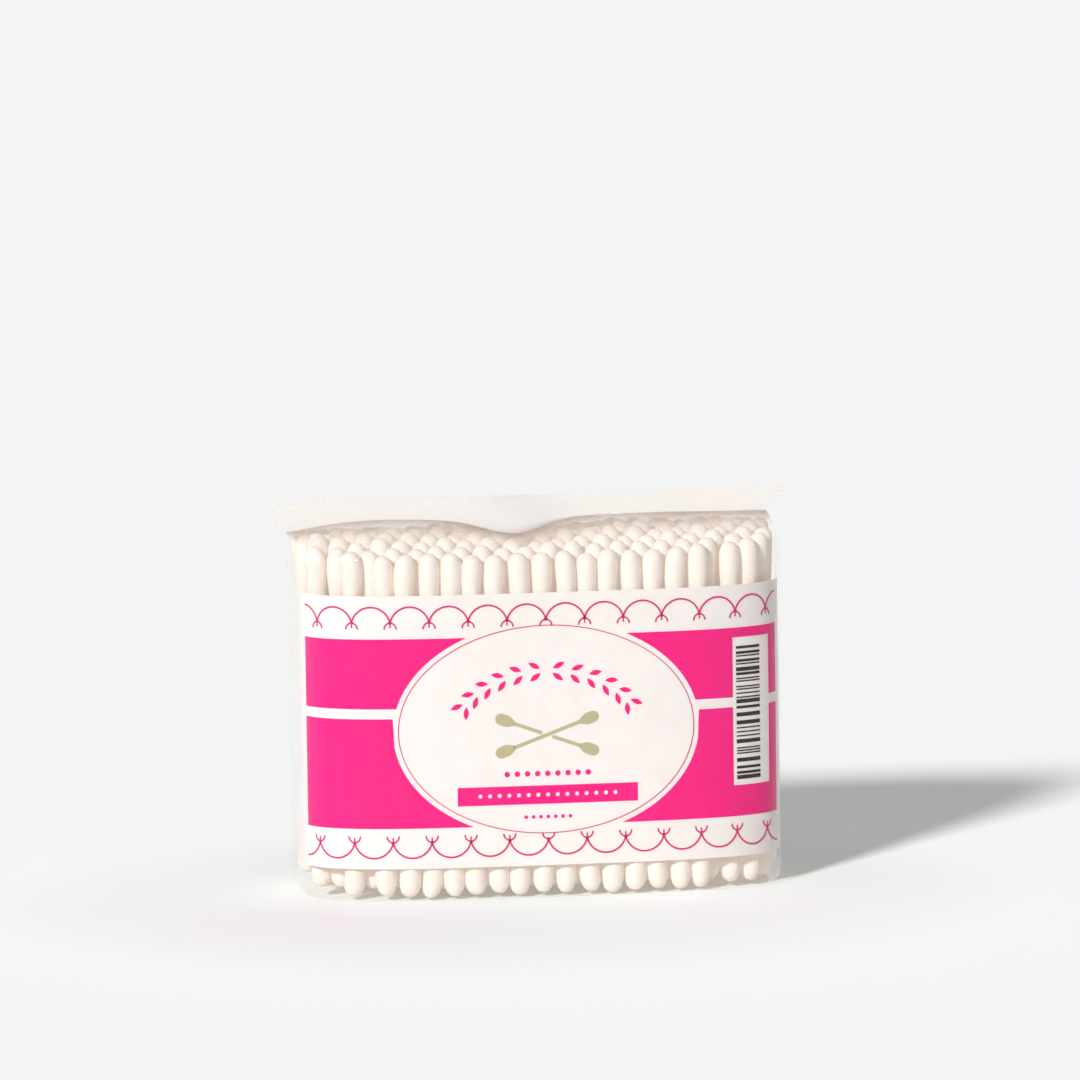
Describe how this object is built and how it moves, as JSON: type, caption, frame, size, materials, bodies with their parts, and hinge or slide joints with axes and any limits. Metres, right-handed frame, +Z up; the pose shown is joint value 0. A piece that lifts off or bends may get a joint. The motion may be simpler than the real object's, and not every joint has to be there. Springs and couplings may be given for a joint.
{
  "type": "bag of cotton swabs",
  "caption": "Clear sealed film bag full of upright cotton swabs, with a printed label round its front and a flat seal fin along its top.",
  "frame": {"origin": "middle of the bag's footprint on the surface that it stands on", "axes": "+X along the front towards the end with the bar panel, +Y from front to back, +Z up along the swabs"},
  "size_m": [0.117, 0.0474, 0.0852],
  "materials": {
    "clear_film": "thin clear polypropylene film, glossy, whitish where two layers are welded",
    "coated_paper": "white coated label paper, smooth with a low sheen",
    "pink_ink": "bright pink offset ink on coated paper",
    "khaki_ink": "khaki offset ink on coated paper",
    "black_ink": "black offset ink on coated paper",
    "paper_stick": "rolled white paper, matt",
    "cotton": "bleached cotton wool, wound tight, soft and matt"
  },
  "bodies": {
    "root": {"film_bag": "clear_film", "label_sheet": "coated_paper", "pink_print": "pink_ink", "khaki_print": "khaki_ink", "black_print": "black_ink", "sticks_row_01": "paper_stick", "sticks_row_02": "paper_stick", "sticks_row_03": "paper_stick", "sticks_row_04": "paper_stick", "sticks_row_05": "paper_stick", "sticks_row_06": "paper_stick", "sticks_row_07": "paper_stick", "sticks_row_08": "paper_stick", "sticks_row_09": "paper_stick", "sticks_row_10": "paper_stick", "top_heads_row_01": "cotton", "top_heads_row_02": "cotton", "top_heads_row_03": "cotton", "top_heads_row_04": "cotton", "top_heads_row_05": "cotton", "top_heads_row_06": "cotton", "top_heads_row_07": "cotton", "top_heads_row_08": "cotton", "top_heads_row_09": "cotton", "top_heads_row_10": "cotton", "low_heads_row_01": "cotton", "low_heads_row_02": "cotton", "low_heads_row_03": "cotton", "low_heads_row_04": "cotton", "low_heads_row_05": "cotton", "low_heads_row_06": "cotton", "low_heads_row_07": "cotton", "low_heads_row_08": "cotton", "low_heads_row_09": "cotton", "low_heads_row_10": "cotton"}
  },
  "joints": []
}
